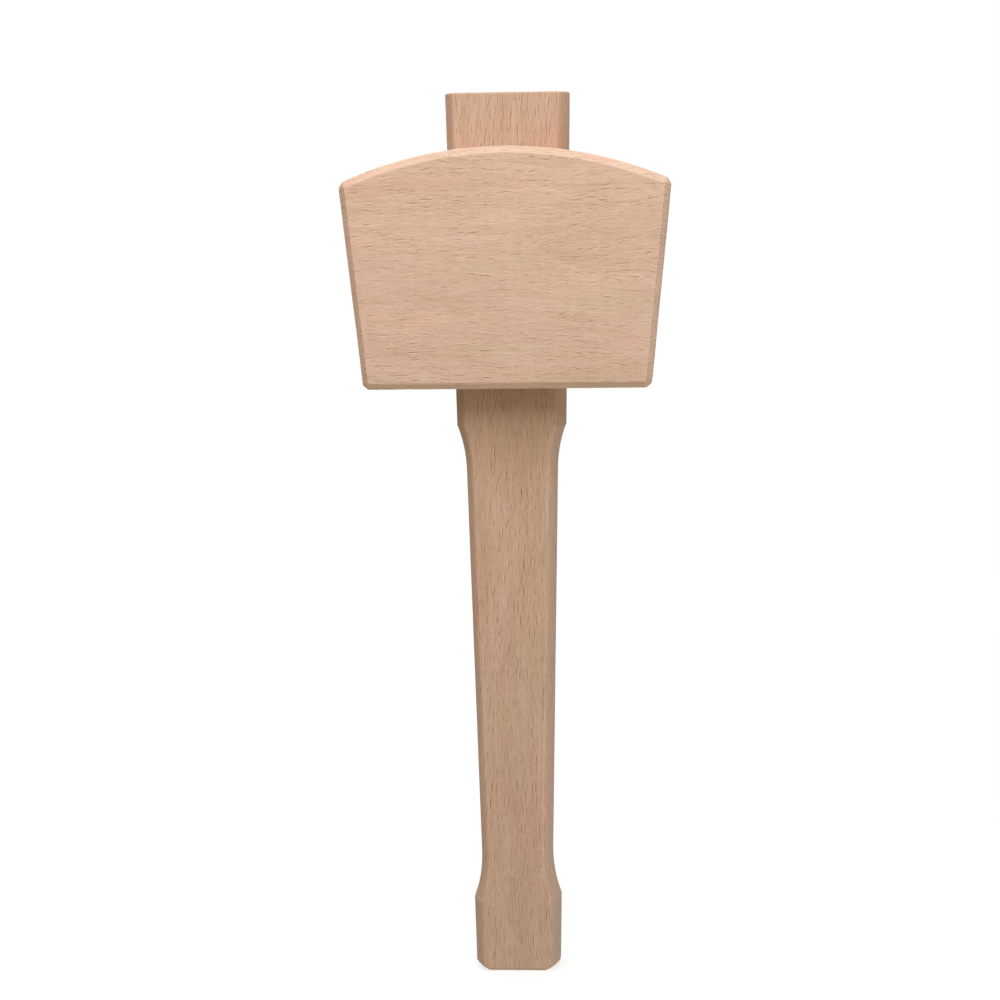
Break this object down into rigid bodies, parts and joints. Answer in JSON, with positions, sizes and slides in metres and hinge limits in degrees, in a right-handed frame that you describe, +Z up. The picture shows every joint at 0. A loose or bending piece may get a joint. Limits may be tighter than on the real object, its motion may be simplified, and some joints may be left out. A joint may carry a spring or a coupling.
{
  "type": "wooden mallet",
  "caption": "Joiner's mallet in plain beech: a crowned, tapered head block with chamfered edges on a tapered handle that passes through it and has a recessed grip.",
  "frame": {"origin": "middle of the bottom end of the handle, which the mallet stands on", "axes": "+Z up along the handle to the head, X along the head between its two striking faces, Y through the head's thickness"},
  "size_m": [0.1394, 0.066, 0.3834],
  "materials": {
    "head_beech": "bare planed and sanded beech, grain along X",
    "handle_beech": "bare sanded beech, slightly darker, grain along Z"
  },
  "bodies": {
    "head": {"head": "head_beech"},
    "handle": {"handle": "handle_beech"}
  },
  "joints": [
    {"name": "handle_slide", "type": "slide", "parent": "head", "child": "handle", "axis": [0, 0, 1], "range_m": [0, 0.362]}
  ]
}
